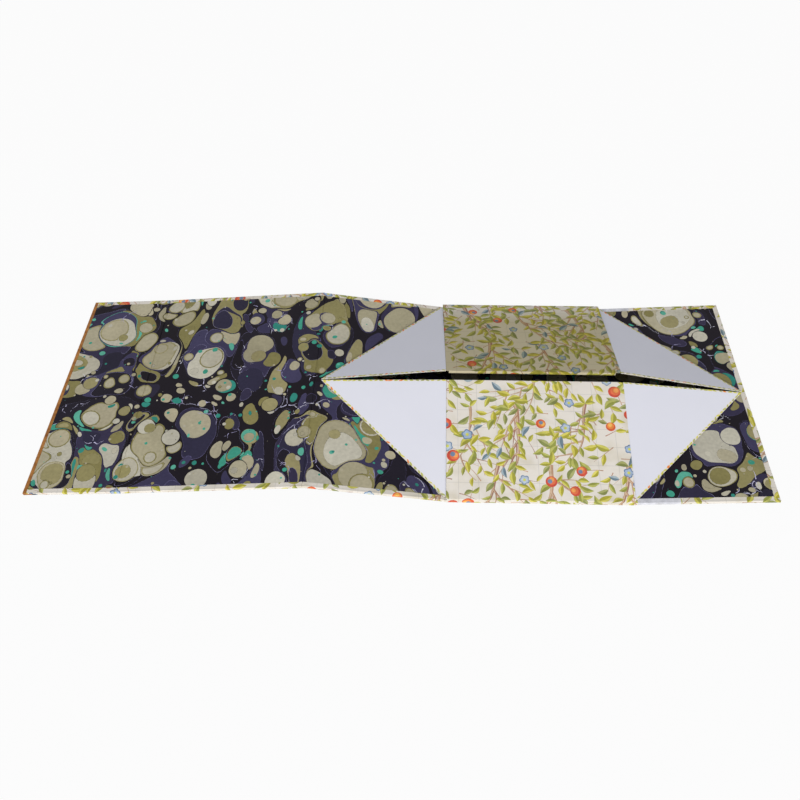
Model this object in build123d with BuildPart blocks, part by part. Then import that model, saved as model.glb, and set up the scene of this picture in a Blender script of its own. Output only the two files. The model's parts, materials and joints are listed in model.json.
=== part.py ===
from build123d import *
import os
from math import asin, atan, cos, degrees, radians, sin, sqrt

# A collapsible gift box of wrapped board, opened out on a table, in millimetres.
# X runs along the row of panels, from the closure flap (minus) to the front wall (plus). Y runs along the folds.
# Z is up. The origin is the centre of the base panel's underside.

# Driving sizes of the panels
base_length = 138.0  # between the base's two folds, and the lid's
wall_height = 102.0
side_wall_gap = 4.6  # pressed flat, between the free edges of the two side walls
flap_length = 69.0

# Materials
board_thickness = 2.0
paper = 0.2
gusset_card = 0.6

# Room at the folds
fold_play = 0.4  # between a panel and the panel that it stands on when the box is shut
edge_play = 0.4  # from a fold line to the board edge beside it
layer_gap = 0.3  # air between two layers that lie on each other
wall_inset = 0.4  # the back and front walls stop short of the side walls' outer faces

# Margins of the papers
turn_in = 4.0  # the wrap's margin that the lining leaves bare
end_strip_width = 2.9
lining_seam = 0.1
edge_round = 0.3

# Side walls and gussets
side_hinge_gap = 0.3  # from the fold line to the side wall's edge
side_taper = 3.8  # how much shorter each end of a side wall is at its free edge than at its fold
gusset_shift = 0.5  # the gusset's slanted fold starts this far out from the base's fold
gusset_leg_inset = 0.5  # erected, from the side wall's outer face to the gusset's upright edge
gusset_fold_gap = 0.4  # from the slanted fold to the edge of the card
tip_gap = 1.0  # between the tips of two gussets that point at each other

# Closure magnets
magnet_diameter = 10.0
magnet_thickness = 1.2
magnet_from_corner = 42.0  # from the panel's near or far edge to a magnet's centre
magnet_from_flap_end = 14.0

# How far the folds spring up when the box lies opened out, in degrees
back_wall_rise = 8.5
front_wall_rise = 3.7
gusset_rise = 18.6  # of a gusset from its wall, about the slanted fold
lid_end_height = 4.0

# Sizes that follow
panel = board_thickness + 2 * paper
groove = panel + fold_play
gusset = gusset_card + 2 * paper
wall_top = groove + wall_height
side_fold_height = 2 * panel + layer_gap
side_reach = wall_top - side_fold_height
box_depth = 2 * side_reach + side_wall_gap
wall_depth = box_depth - 2 * wall_inset
side_rise = 2 * degrees(atan((sin(radians(back_wall_rise)) + sin(radians(front_wall_rise))) / 2))
side_end_room = panel + layer_gap + gusset + layer_gap
side_half_length = base_length / 2 - side_end_room


def keep(name, part):
    """Labels a finished piece and writes it to its own file."""
    part.label = name
    export_step(part, f"parts/{name}.step")


def row_plane(origin, turn, outward):
    """Plane of a panel in the row: X away from the base, Z out of its inner face. A positive turn lifts it."""
    lift = radians(turn)
    return Plane(
        origin=origin,
        x_dir=(outward * cos(lift), 0, sin(lift)),
        z_dir=(-outward * sin(lift), 0, cos(lift)),
    )


def wrapped_block(plane, start, end, width, free_end):
    """The outer form of a wrapped panel, its paper edges slightly round."""
    with BuildPart() as block:
        with BuildSketch(plane):
            with Locations(((start + end) / 2, 0)):
                Rectangle(end - start, width)
        extrude(amount=panel)
        row_axis = Axis(plane.origin, plane.x_dir)
        round_edges = block.edges().filter_by(row_axis)
        if free_end:
            round_edges += block.faces().sort_by(row_axis)[-1].edges()
        fillet(round_edges, edge_round)
    return block.part


def greyboard(name, plane, start, end, width, pockets=(), pocket_floor=0.0):
    """A panel's board. Magnet pockets are sunk from the height pocket_floor towards the nearer face."""
    with BuildPart() as board:
        with BuildSketch(plane.offset(paper)):
            with Locations(((start + end) / 2, 0)):
                Rectangle(end - start, width - 2 * paper)
        extrude(amount=board_thickness)
        if pockets:
            with BuildSketch(plane.offset(pocket_floor)):
                with Locations(*pockets):
                    Circle(magnet_diameter / 2)
            extrude(amount=magnet_thickness, mode=Mode.SUBTRACT)
    keep(name, board.part)


def magnets(name, plane, pockets, floor):
    """A pair of disc magnets that fill their pockets."""
    with BuildPart() as pair:
        with BuildSketch(plane.offset(floor)):
            with Locations(*pockets):
                Circle(magnet_diameter / 2)
        extrude(amount=magnet_thickness)
    keep(name, pair.part)


def lining(name, plane, start, end, width):
    """The marbled sheet on a panel's inner face."""
    with BuildPart() as sheet:
        with BuildSketch(plane.offset(panel - paper)):
            with Locations(((start + end) / 2, 0)):
                Rectangle(end - start, width)
        extrude(amount=paper)
    keep(name, sheet.part)


def printed_wrap(name, plane, start, end, width, margin, end_margin=0.0, hinge=None):
    """The wrap: under the board, round its long edges, and turned in by margin. hinge is its span over a fold."""
    with BuildPart() as wrap:
        add(wrapped_block(plane, start, end, width, end_margin > 0))
        board_end = end - paper if end_margin else end
        with BuildSketch(plane.offset(paper)):
            with Locations(((start + board_end) / 2, 0)):
                Rectangle(board_end - start, width - 2 * paper)
        extrude(amount=board_thickness, mode=Mode.SUBTRACT)
        with BuildSketch(plane.offset(panel - paper)):
            with Locations(((start + end - end_margin) / 2, 0)):
                Rectangle(end - end_margin - start, width - 2 * margin)
        extrude(amount=paper, mode=Mode.SUBTRACT)
        if hinge:
            with BuildSketch(plane):
                with Locations(((hinge[0] + hinge[1]) / 2, 0)):
                    Rectangle(hinge[1] - hinge[0], width - 2 * edge_round)
            extrude(amount=paper)
    keep(name, wrap.part)


os.makedirs("parts", exist_ok=True)

# Base. Its wrap isn't turned in at the near and far edges, because there it goes on up to the side walls.
base_plane = Plane.XY
base_end = base_length / 2 - edge_play
greyboard("base_board", base_plane, -base_end, base_end, box_depth)
printed_wrap("base_wrap", base_plane, -base_end, base_end, box_depth, paper)
lining("base_lining", base_plane, -base_end, base_end, box_depth - 2 * paper)

for side, side_name in ((-1, "near"), (1, "far")):
    with BuildPart() as spine:
        with BuildSketch(Plane.XY.offset(panel)):
            with Locations((0, side * (box_depth - paper) / 2)):
                Rectangle(2 * base_end, paper)
        extrude(amount=side_fold_height - panel)
    keep(f"{side_name}_spine_strip", spine.part)

# Back wall. Its wrap spans the fold to the base at one end and the fold to the lid at the other.
back_plane = row_plane((-base_length / 2, 0, 0), back_wall_rise, -1)
greyboard("back_wall_board", back_plane, groove, wall_top, wall_depth)
printed_wrap(
    "back_wall_wrap", back_plane, groove, wall_top, wall_depth, turn_in, hinge=(0, wall_top + groove)
)
lining("back_wall_lining", back_plane, groove, wall_top, wall_depth - 2 * (turn_in + lining_seam))

# Front wall, with a magnet pair under its wrap. They meet the flap's magnets when the box is shut.
front_plane = row_plane((base_length / 2, 0, 0), front_wall_rise, 1)
magnet_row = [side * (box_depth / 2 - magnet_from_corner) for side in (-1, 1)]
front_magnet_reach = wall_top + groove - (flap_length - magnet_from_flap_end)
front_pockets = [(front_magnet_reach, y) for y in magnet_row]
greyboard(
    "front_wall_board", front_plane, groove, wall_top - paper, wall_depth, front_pockets, pocket_floor=paper
)
magnets("front_wall_magnets", front_plane, front_pockets, paper)
printed_wrap("front_wall_wrap", front_plane, groove, wall_top, wall_depth, turn_in, turn_in, hinge=(0, groove))
lining(
    "front_wall_lining",
    front_plane,
    groove,
    wall_top - turn_in - lining_seam,
    wall_depth - 2 * (turn_in + lining_seam),
)

# Lid. It hangs from the back wall's top, down to the table beside its far fold, and its wrap spans that fold.
lid_fold = back_plane.from_local_coords((wall_top + groove, 0, 0))
lid_reach = base_length + groove
lid_drop = degrees(asin((lid_fold.Z - lid_end_height) / lid_reach))
lid_plane = row_plane(lid_fold, -lid_drop, -1)
greyboard("lid_board", lid_plane, edge_play, base_length, box_depth)
printed_wrap(
    "lid_wrap", lid_plane, edge_play, base_length, box_depth, turn_in, hinge=(base_length, lid_reach)
)
lining("lid_lining", lid_plane, edge_play, base_length, box_depth - 2 * (turn_in + lining_seam))

# Closure flap, whose free end touches the table, with its magnet pair under the lining
flap_fold = lid_plane.from_local_coords((lid_reach, 0, 0))
flap_drop = degrees(asin(flap_fold.Z / flap_length))
flap_plane = row_plane(flap_fold, -flap_drop, -1)
flap_pockets = [(flap_length - magnet_from_flap_end, y) for y in magnet_row]
flap_magnet_floor = panel - paper - magnet_thickness
greyboard(
    "flap_board",
    flap_plane,
    edge_play,
    flap_length - paper,
    box_depth,
    flap_pockets,
    pocket_floor=flap_magnet_floor,
)
magnets("flap_magnets", flap_plane, flap_pockets, flap_magnet_floor)
lining(
    "flap_lining",
    flap_plane,
    edge_play,
    flap_length - end_strip_width - lining_seam,
    box_depth - 2 * (turn_in + lining_seam),
)

# The flap's wrap stops at the end strip, which goes round the board's free end and its two corners.
with BuildPart() as flap_shell:
    add(wrapped_block(flap_plane, edge_play, flap_length, box_depth, True))
    with BuildSketch(flap_plane.offset(paper)):
        with Locations(((edge_play + flap_length - paper) / 2, 0)):
            Rectangle(flap_length - paper - edge_play, box_depth - 2 * paper)
    extrude(amount=board_thickness, mode=Mode.SUBTRACT)
    with BuildSketch(flap_plane.offset(panel - paper)):
        with Locations(((edge_play + flap_length - end_strip_width) / 2, 0)):
            Rectangle(flap_length - end_strip_width - edge_play, box_depth - 2 * turn_in)
    extrude(amount=paper, mode=Mode.SUBTRACT)

for name, cut in (("flap_wrap", Mode.SUBTRACT), ("flap_end_strip", Mode.INTERSECT)):
    with BuildPart() as piece:
        add(flap_shell.part)
        with BuildSketch(flap_plane.offset(paper)):
            with Locations((flap_length - end_strip_width / 2, 0)):
                Rectangle(end_strip_width, box_depth)
        extrude(amount=board_thickness + paper, mode=cut)
    keep(name, piece.part)


def side_outline(reach_from, reach_to):
    """Corners of a stretch of the side wall, whose ends draw in towards the free edge."""

    def half(reach):
        return side_half_length - side_taper * (reach - side_hinge_gap) / (side_reach - side_hinge_gap)

    return [
        (reach_from, -half(reach_from)),
        (reach_to, -half(reach_to)),
        (reach_to, half(reach_to)),
        (reach_from, half(reach_from)),
    ]


# Side walls, folded inward over the base, printed face up. They turn about the spine strips' upper edges.
for side, side_name in ((-1, "near"), (1, "far")):
    lift = radians(side_rise)
    side_plane = Plane(
        origin=(0, side * box_depth / 2, side_fold_height),
        x_dir=(0, -side * cos(lift), sin(lift)),
        z_dir=(0, side * sin(lift), cos(lift)),
    )
    reach_axis = Axis(side_plane.origin, side_plane.x_dir)
    board_end = side_reach - paper
    lining_end = side_reach - turn_in

    with BuildPart() as board:
        with BuildSketch(side_plane.offset(-paper)):
            Polygon(*side_outline(side_hinge_gap, board_end), align=None)
        extrude(amount=-board_thickness)
    keep(f"{side_name}_side_board", board.part)

    with BuildPart() as wrap:
        with BuildSketch(side_plane):
            Polygon(*side_outline(side_hinge_gap, side_reach), align=None)
        extrude(amount=-panel)
        fillet(wrap.faces().sort_by(reach_axis)[-1].edges().filter_by(Axis.X), edge_round)
        with BuildSketch(side_plane.offset(-paper)):
            Polygon(*side_outline(side_hinge_gap, board_end), align=None)
        extrude(amount=-board_thickness, mode=Mode.SUBTRACT)
        with BuildSketch(side_plane.offset(-panel)):
            Polygon(*side_outline(side_hinge_gap, lining_end), align=None)
        extrude(amount=paper, mode=Mode.SUBTRACT)
    keep(f"{side_name}_side_wrap", wrap.part)

    with BuildPart() as sheet:
        with BuildSketch(side_plane.offset(-panel)):
            Polygon(*side_outline(side_hinge_gap, lining_end - lining_seam), align=None)
        extrude(amount=paper)
    keep(f"{side_name}_side_lining", sheet.part)


# Gusset outline, flat on its wall: out is the way from the base's fold, across the way from the wall's edge.
gusset_leg_out = gusset_leg_inset + gusset_shift
gusset_foot = panel + layer_gap  # erected, the card stands clear of the base by a layer gap
fold_offset = gusset_fold_gap * sqrt(2)
gusset_tip_across = box_depth / 2 - tip_gap / 2
gusset_corners = [
    (gusset_leg_out, gusset_foot),
    (gusset_foot + gusset_shift - fold_offset, gusset_foot),
    (gusset_tip_across + gusset_shift - fold_offset, gusset_tip_across),
    (gusset_leg_out, side_reach),
]


def along_fold(out, across):
    """A point of the flat gusset as its distance along the slanted fold and its distance from it."""
    return ((out - gusset_shift + across) / sqrt(2), (across - out + gusset_shift) / sqrt(2))


# Corner gussets. Each turns on its wall about a fold at 45 degrees, and its long edge lies along that fold.
for outward, wall_name, wall_plane in ((-1, "back", back_plane), (1, "front", front_plane)):
    for side, side_name in ((-1, "near"), (1, "far")):
        across_dir = Vector(0, -side, 0)
        along_dir = (wall_plane.x_dir + across_dir).normalized()
        from_fold = (across_dir - wall_plane.x_dir).normalized()
        lift = radians(gusset_rise)
        fold_height = panel + layer_gap + gusset / 2
        gusset_plane = Plane(
            origin=wall_plane.origin
            + wall_plane.x_dir * gusset_shift
            + wall_plane.z_dir * fold_height
            + Vector(0, side * box_depth / 2, 0),
            x_dir=along_dir,
            z_dir=wall_plane.z_dir * cos(lift) - from_fold * sin(lift),
        )
        hand = -side * outward
        outline = [(a, hand * b) for a, b in (along_fold(*corner) for corner in gusset_corners)]
        layers = (
            ("gusset_card", -gusset_card / 2, gusset_card),
            ("gusset_facing", gusset_card / 2, paper),
            ("gusset_lining", -gusset_card / 2 - paper, paper),
        )
        for layer_name, floor, thickness in layers:
            with BuildPart() as layer:
                with BuildSketch(gusset_plane.offset(floor)):
                    Polygon(*outline, align=None)
                extrude(amount=thickness)
            keep(f"{side_name}_{wall_name}_{layer_name}", layer.part)
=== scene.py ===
import json
from collections import namedtuple
from math import cos, pi, radians, sin

import bpy
import numpy as np
from mathutils import Matrix, Vector, geometry


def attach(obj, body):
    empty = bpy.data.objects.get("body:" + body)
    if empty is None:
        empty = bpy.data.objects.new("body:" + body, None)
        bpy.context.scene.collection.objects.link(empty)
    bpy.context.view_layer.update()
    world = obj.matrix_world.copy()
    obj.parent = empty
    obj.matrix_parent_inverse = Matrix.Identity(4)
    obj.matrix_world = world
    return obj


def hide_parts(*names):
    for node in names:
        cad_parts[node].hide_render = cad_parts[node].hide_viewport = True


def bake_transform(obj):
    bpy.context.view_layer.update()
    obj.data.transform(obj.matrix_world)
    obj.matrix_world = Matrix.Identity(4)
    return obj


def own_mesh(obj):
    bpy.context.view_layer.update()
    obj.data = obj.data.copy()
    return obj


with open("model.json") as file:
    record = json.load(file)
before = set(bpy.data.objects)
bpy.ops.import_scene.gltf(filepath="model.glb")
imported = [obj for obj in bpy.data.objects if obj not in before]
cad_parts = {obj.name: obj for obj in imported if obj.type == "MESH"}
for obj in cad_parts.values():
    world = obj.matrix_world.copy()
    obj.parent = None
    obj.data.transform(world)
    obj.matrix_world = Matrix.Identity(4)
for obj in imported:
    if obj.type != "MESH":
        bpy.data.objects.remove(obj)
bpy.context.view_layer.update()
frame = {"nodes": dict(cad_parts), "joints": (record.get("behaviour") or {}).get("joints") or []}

# The view. The camera looks down on the opened box from its near side, as a person at a table would, and
# stands a little to the left of its middle.
camera_place = (-0.0936, -0.4059, 0.4946)
view_pitch, view_yaw, view_roll = radians(50.97), radians(-1.69), radians(-0.48)
picture_width, focal_pixels = 800, 777.5
sensor_width = 36


def add_object(name, data):
    """A new object in the scene, at the origin."""
    added = bpy.data.objects.new(name, data)
    bpy.context.scene.collection.objects.link(added)
    return added


forward = Vector((sin(view_yaw) * cos(view_pitch), cos(view_yaw) * cos(view_pitch), -sin(view_pitch)))
level = Vector((cos(view_yaw), -sin(view_yaw), 0))
upright = level.cross(forward)
across_view = level * cos(view_roll) + upright * sin(view_roll)
up_view = upright * cos(view_roll) - level * sin(view_roll)
camera_data = bpy.data.cameras.new("camera")
camera_data.sensor_width = sensor_width
camera_data.lens = sensor_width * focal_pixels / picture_width
camera = add_object("camera", camera_data)
view_turn = Matrix((across_view, up_view, -forward)).transposed().to_4x4()
camera.matrix_world = Matrix.Translation(camera_place) @ view_turn
bpy.context.scene.camera = camera

# The studio: a pale floor that the box lies on, a broad lamp well out on the near side, and a soft surround
# that the camera sees as plain white.
bpy.context.scene.view_settings.view_transform = "Standard"
lamp_place, lamp_target = Vector((-0.2, -2.8, 1.52)), Vector((-0.1, 0, 0))
lamp_size, lamp_watts = (2.8, 1.2), 101
floor_reach, floor_depth = 3, 0.0004

lamp_data = bpy.data.lights.new("near_lamp", "AREA")
lamp_data.shape = "RECTANGLE"
lamp_data.size, lamp_data.size_y = lamp_size
lamp_data.energy = lamp_watts
lamp = add_object("near_lamp", lamp_data)
lamp.location = lamp_place
lamp.rotation_euler = (lamp_target - lamp_place).to_track_quat("-Z", "Y").to_euler()


def set_inputs(tree, node, inputs):
    """Gives each of a node's inputs its value, or joins it to another node's output."""
    for name, value in dict(inputs).items():
        if isinstance(value, bpy.types.NodeSocket):
            tree.links.new(value, node.inputs[name])
        else:
            node.inputs[name].default_value = value


def add_node(tree, kind, inputs=(), **settings):
    """A new shader node with its settings and inputs."""
    added = tree.nodes.new(f"ShaderNode{kind}")
    for name, value in settings.items():
        setattr(added, name, value)
    set_inputs(tree, added, inputs)
    return added


def calc(tree, operation, *values):
    """A number worked out from numbers and other nodes' outputs."""
    return add_node(tree, "Math", enumerate(values), operation=operation).outputs[0]


def seen_directly(tree):
    """1 where the camera, a mirror-like surface or a clear one shows the surface itself."""
    rays = add_node(tree, "LightPath").outputs
    mirrored = calc(tree, "MAXIMUM", rays["Is Glossy Ray"], rays["Is Transmission Ray"])
    return calc(tree, "MAXIMUM", rays["Is Camera Ray"], mirrored)


def new_look(name, values):
    """A new material with values on its shader. Returns it with its node tree and shader."""
    look = bpy.data.materials.new(name)
    look.use_nodes = True
    shader = look.node_tree.nodes["Principled BSDF"]
    set_inputs(look.node_tree, shader, values)
    return look, look.node_tree, shader


world = bpy.data.worlds.new("studio")
bpy.context.scene.world = world
world.use_nodes = True
tree = world.node_tree
tree.nodes.clear()
surround = add_node(tree, "Background", {"Color": (0.93, 0.95, 1.0, 1), "Strength": 0.37})
white = add_node(tree, "Background", {"Color": (1, 1, 1, 1)})
light = {"Fac": seen_directly(tree), 1: surround.outputs[0], 2: white.outputs[0]}
add_node(tree, "OutputWorld", {"Surface": add_node(tree, "MixShader", light).outputs[0]})

floor_mesh = bpy.data.meshes.new("floor")
floor_square = ((-1, -1), (1, -1), (1, 1), (-1, 1))
floor_corners = [(x * floor_reach, y * floor_reach, -floor_depth) for x, y in floor_square]
floor_mesh.from_pydata(floor_corners, [], [(0, 1, 2, 3)])
floor = add_object("floor", floor_mesh)
floor_look, tree, shader = new_look("floor", {"Base Color": (0.5, 0.5, 0.5, 1), "Roughness": 0.9})
whiteness = calc(tree, "MULTIPLY", seen_directly(tree), 0.95)
glow = add_node(tree, "Emission")
shown = add_node(tree, "MixShader", {"Fac": whiteness, 1: shader.outputs[0], 2: glow.outputs[0]})
set_inputs(tree, tree.nodes["Material Output"], {"Surface": shown.outputs[0]})
floor_mesh.materials.append(floor_look)

# The row of panels. Flap, lid, back wall, base and front wall are one long strip of papers with stiff boards
# between them. A place on the strip is its distance u along it when it is flat, from the middle of the base.
joints = {j["name"]: j for j in frame["joints"]}
half_base, lid_length, flap_length, wall_height = 0.069, 0.138, 0.069, 0.102
half_lid, half_wall = 0.102, 0.1016
panel_thick, paper_thick = 0.0024, 0.0002
groove, edge_play = 0.0028, 0.0004


def travel(joint):
    """How far a fold turns to shut the box, in degrees."""
    return joints[joint]["range_deg"][1]


back_rise = radians(90 - travel("back_wall_fold"))
front_rise = radians(90 - travel("front_wall_fold"))
lid_fall = radians(travel("lid_fold") - 90) - back_rise
flap_fall = lid_fall - radians(90 - travel("flap_fold"))
lid_place, flap_place = joints["lid_fold"]["pos_m"], joints["flap_fold"]["pos_m"]
wall_top = groove + wall_height
lid_fold_u = -(half_base + wall_top + groove)
flap_fold_u = lid_fold_u - lid_length - groove
flap_end = flap_fold_u - flap_length
back_top, back_foot = -half_base - wall_top, -half_base - groove
front_end = half_base + wall_top

# Where each panel turns: u at its fold, the fold's place, and its slope. Its board lies from low to high, and
# as far as half to the near and the far side.
Panel = namedtuple("Panel", "fold_u place slope low high half")
panels = {
    "flap": Panel(flap_fold_u, flap_place, -flap_fall, flap_end, flap_fold_u - edge_play, half_lid),
    "lid": Panel(lid_fold_u, lid_place, -lid_fall, lid_fold_u - lid_length, lid_fold_u - edge_play, half_lid),
    "back_wall": Panel(-half_base, (-half_base, 0, 0), back_rise, back_top, back_foot, half_wall),
    "base": Panel(0, (0, 0, 0), 0, edge_play - half_base, half_base - edge_play, half_lid),
    "front_wall": Panel(half_base, (half_base, 0, 0), -front_rise, half_base + groove, front_end, half_wall),
}


def row_frame(body, slope=None):
    """Places the strip, cut flat with its underside at zero height, where that panel lies or at a slope."""
    panel = panels[body]
    turn = Matrix.Rotation(panel.slope if slope is None else slope, 4, "Y")
    return Matrix.Translation(panel.place) @ turn @ Matrix.Translation((-panel.fold_u, 0, 0))


# Marbled lining. Drops of ink float on a bath, one after another, and each new drop pushes the earlier ones
# outward without mixing. Fine lilac threads are drawn between them. A sheet laid on the bath lifts it off.
def ink(*levels):
    """A printed colour's light, from its levels of red, green and blue between 0 and 255."""
    return tuple(c / 255 / 12.92 if c <= 10 else ((c / 255 + 0.055) / 1.055) ** 2.4 for c in levels)


black_ground = ink(24, 19, 27)
indigo = [ink(54, 49, 73), ink(46, 43, 64), ink(62, 58, 86), ink(41, 37, 55), ink(67, 63, 92)]
black_inks = [ink(22, 17, 24), ink(31, 27, 38)]
lilac = [ink(208, 204, 232), ink(176, 170, 208), ink(226, 224, 240)]
rim_inks = [ink(112, 106, 148), ink(92, 86, 126), ink(130, 126, 162)]
olive = [ink(150, 142, 96), ink(140, 132, 84), ink(160, 151, 108)]
beige = [ink(181, 173, 146), ink(173, 165, 136), ink(190, 184, 164), ink(199, 194, 176), ink(185, 176, 147)]
teal = [ink(70, 162, 138), ink(54, 140, 125), ink(96, 178, 154)]
bath_low, bath_high = (-0.40, -0.115), (0.19, 0.115)

# A ring is ink set down just before a drop, at the same place, which the drop pushes out into an outline: how
# often, how thick, and its inks.
dark_ring = (0.9, 0.0002, [black_ground])
olive_ring = (0.35, 0.0011, olive)
pale_ring = (0.75, 0.0003, rim_inks)
threads = "threads"

# Each throw of the brush: how many drops, their smallest and largest radius, their inks, and their rings. A
# thread has its length in place of the radius.
throws = [
    (110, 0.0070, 0.0200, indigo + black_inks, [pale_ring]),
    (70, 0.0030, 0.0090, teal + olive, [dark_ring]),
    (110, 0.0060, 0.0180, black_inks + indigo, [pale_ring]),
    (120, 0.0030, 0.0120, olive, [dark_ring]),
    (60, 0.0020, 0.0070, teal, []),
    (110, 0.0050, 0.0160, indigo + black_inks + indigo, [pale_ring]),
    (100, 0.0050, 0.0150, lilac, threads),
    (170, 0.0020, 0.0125, olive + beige, [dark_ring]),
    (60, 0.0015, 0.0055, teal, [dark_ring]),
    (60, 0.0040, 0.0110, indigo + black_inks, [pale_ring]),
    (190, 0.0020, 0.0150, beige, [dark_ring, olive_ring]),
    (150, 0.0009, 0.0028, teal, []),
    (40, 0.0050, 0.0120, lilac, threads),
    (230, 0.0012, 0.0085, beige + olive, [dark_ring, olive_ring]),
    (260, 0.0006, 0.0022, teal + beige, []),
    (420, 0.00016, 0.0005, black_inks + teal + beige, []),
]

# How finely an outline is drawn: the gap between a new drop's points, the widest gap that is left as the drop
# is pushed about, looked for after so many drops, and the flattest bend and longest stretch that a point is
# kept for at the end. A drop pushes the ink within so many times its own radius.
drop_gap, widest_gap, thread_step = 0.0007, 0.0011, 0.0012
drops_between_looks, push_reach = 40, 24
flattest_bend, longest_stretch = 0.000015, 0.003
thread_widths = (0.0005, 0.0009)


def drop_inks(throws, seed):
    """The outline and colour of each drop and thread as the last drop leaves it, in the order of laying."""
    rng = np.random.default_rng(seed)
    colours = []
    points, owner = np.empty((0, 2)), np.empty(0, int)

    def lay(outline, colour):
        nonlocal points, owner
        points = np.vstack((points, outline))
        owner = np.append(owner, np.full(len(outline), len(colours)))
        colours.append(colour)

    def fall(centre, radius, colour):
        near = np.flatnonzero(np.abs(points[:, 0] - centre[0]) < push_reach * radius)
        away = points[near] - centre
        distance_squared = np.maximum((away**2).sum(1), 1e-14)
        points[near] = centre + away * np.sqrt(1 + radius**2 / distance_squared)[:, None]
        count = int(np.clip(2 * pi * radius / drop_gap, 9, 90))
        turn = np.linspace(0, 2 * pi, count, endpoint=False)
        lay(centre + radius * np.column_stack((np.cos(turn), np.sin(turn))), colour)

    def draw_thread(start, angle, length, width, colour, forks):
        steps = max(int(length / thread_step), 3)
        angles = angle + np.cumsum(rng.normal(0, 0.3, steps))
        path = start + np.cumsum(np.column_stack((np.cos(angles), np.sin(angles))), 0) * thread_step
        taper = width / 2 * (1 - 0.9 * np.linspace(0, 1, steps))[:, None]
        across = np.column_stack((-np.sin(angles), np.cos(angles))) * taper
        lay(np.vstack((path + across, (path - across)[::-1])), colour)
        for _ in range(forks):
            k = rng.integers(steps // 3, steps)
            turned = angles[k] + rng.choice((-1, 1)) * rng.uniform(0.5, 1.1)
            draw_thread(path[k], turned, length / 2, width * 0.6, colour, 0)

    def following():
        """The index of the next point round each outline."""
        after = np.arange(1, len(points) + 1)
        last = np.flatnonzero(np.append(np.diff(owner) != 0, True))
        after[last] = np.append(0, last[:-1] + 1)
        return after

    fallen = 0
    for count, small, large, inks, rings in throws:
        for _ in range(count):
            centre = rng.uniform(bath_low, bath_high)
            size = small + (large - small) * rng.random() ** 1.8
            tone = rng.normal(1, 0.05)
            colour = tuple(c * tone for c in inks[rng.integers(len(inks))])
            if rings is threads:
                angle = rng.uniform(0, 2 * pi)
                for _ in range(rng.integers(2, 4)):
                    draw_thread(centre, angle, size, rng.uniform(*thread_widths), colour, rng.integers(0, 3))
                    angle += rng.uniform(1.6, 2.6)
                continue
            for chance, thickness, ring_inks in rings:
                if rng.random() < chance:
                    fall(centre, (2 * size * thickness) ** 0.5, ring_inks[rng.integers(len(ring_inks))])
            fall(centre, size, colour)
            fallen += 1
            if fallen % drops_between_looks == 0:
                after = following()
                far = np.flatnonzero(((points[after] - points) ** 2).sum(1) > widest_gap**2)
                points = np.insert(points, far + 1, (points[far] + points[after[far]]) / 2, axis=0)
                owner = np.insert(owner, far + 1, owner[far])

    for _ in range(3):
        after = following()
        before = np.empty_like(after)
        before[after] = np.arange(len(after))
        side_a, side_b = points[after] - points, points[before] - points
        bend = np.abs(side_a[:, 0] * side_b[:, 1] - side_a[:, 1] * side_b[:, 0])
        span = np.sqrt(((points[after] - points[before]) ** 2).sum(1)) + 1e-9
        spare = (bend / span < flattest_bend) & (span < longest_stretch) & (np.arange(len(points)) % 2 == 0)
        points, owner = points[~spare], owner[~spare]
    starts = np.flatnonzero(np.diff(owner)) + 1
    outlines, kept = np.split(points, starts), owner[np.append(0, starts)]
    return [(outline, colours[k]) for outline, k in zip(outlines, kept) if len(outline) > 3]


marbling = drop_inks(throws, 12)


def inside(outline, places):
    """Which of the places lie within an outline."""
    x, y = places.T[:, :, None]
    (from_x, from_y), (to_x, to_y) = outline.T, np.roll(outline, -1, 0).T
    rise = np.where(to_y == from_y, 1, to_y - from_y)
    crossed = ((from_y > y) != (to_y > y)) & (x < from_x + (y - from_y) * (to_x - from_x) / rise)
    return crossed.sum(1) % 2 == 1


def divided(points, lines, rim):
    """Triangles that fill the rim and keep to the lines. Returns corners, triangles and corners' origins."""
    corners, _, triangles, origins, _, owners = geometry.delaunay_2d_cdt(points, lines, [rim], 0, 1e-7, True)
    return corners, [t for t, owner in zip(triangles, owners) if owner], origins


def inlay(edge, shapes, ground, cuts=()):
    """Divides a flat sheet into triangles that follow the shapes on it. The last shape over a triangle
    colours it. Returns corners, triangles, each triangle's colour, with 1 for ink and 0 for bare ground as a
    fourth value, the ground, and the cuts, which are straight lines that no triangle crosses, where the sheet
    will bend."""
    edge = np.array(edge, float)
    turn = np.roll(edge, -1, 0)
    edge = edge if np.sum(edge[:, 0] * turn[:, 1] - edge[:, 1] * turn[:, 0]) > 0 else edge[::-1]
    low, high = edge.min(0), edge.max(0)
    on_sheet = [s for s in shapes if (s[0].max(0) > low).all() and (s[0].min(0) < high).all()]
    points, lines = list(edge), []
    for outline, _ in on_sheet:
        first, count = len(points), len(outline)
        lines += [(first + k, first + (k + 1) % count) for k in range(count)]
        points += list(outline)
    for cut in cuts:
        lines.append((len(points), len(points) + 1))
        points += list(cut)
    corners, triangles, _ = divided([Vector(p) for p in points], lines, list(range(len(edge))))
    middles = np.array(corners)[np.array(triangles)].mean(1)
    inks = np.tile((*ground, 0.0), (len(triangles), 1))
    for outline, colour in on_sheet:
        near = np.flatnonzero(((middles > outline.min(0)) & (middles < outline.max(0))).all(1))
        inks[near[inside(outline, middles[near])]] = (*colour, 1)
    return corners, triangles, inks.tolist(), ground, cuts


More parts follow.
